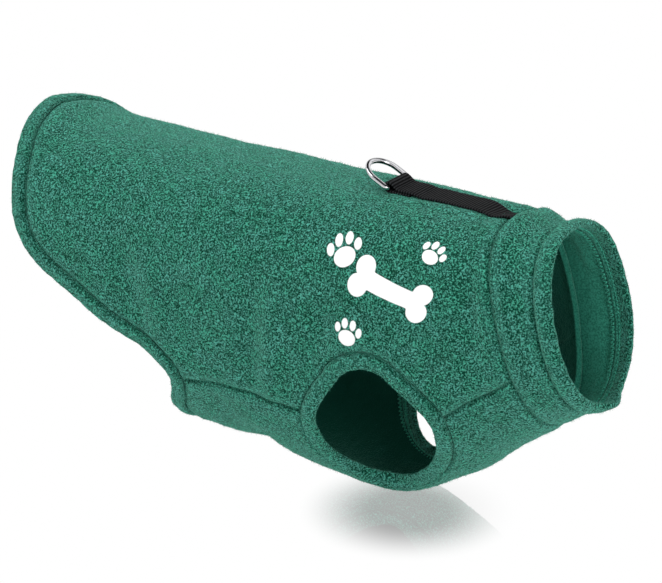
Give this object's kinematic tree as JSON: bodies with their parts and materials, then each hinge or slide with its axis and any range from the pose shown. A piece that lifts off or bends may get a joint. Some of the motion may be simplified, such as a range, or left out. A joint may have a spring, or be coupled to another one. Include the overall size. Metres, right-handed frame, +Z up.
{
  "type": "dog winter coat",
  "caption": "Fleece winter coat for a dog: a hollow back and belly tube with two armholes, a stand collar, folded edge bands and a webbing leash strap with a swinging ring.",
  "frame": {"origin": "on the inner face of the back cloth over the withers, where the wearer's back carries the coat", "axes": "+X along the back from tail to head, +Y to the dog's left, +Z up"},
  "size_m": [0.4165, 0.1405, 0.2049],
  "materials": {
    "fleece": "pilled polar fleece, matt",
    "webbing": "cross-ribbed black webbing",
    "ring": "polished"
  },
  "bodies": {
    "coat": {"back_panel": "fleece", "chest_panel": "fleece", "hem_band": "fleece", "armhole_band_right": "fleece", "armhole_band_left": "fleece", "collar": "fleece", "collar_band": "fleece", "leash_strap": "webbing"},
    "ring": {"d_ring": "ring"}
  },
  "joints": [
    {"name": "ring_swing", "type": "hinge", "parent": "coat", "child": "ring", "pos_m": [-0.0293, 0, 0.0058], "axis": [0, 1, 0], "range_deg": [-30, 142]}
  ]
}
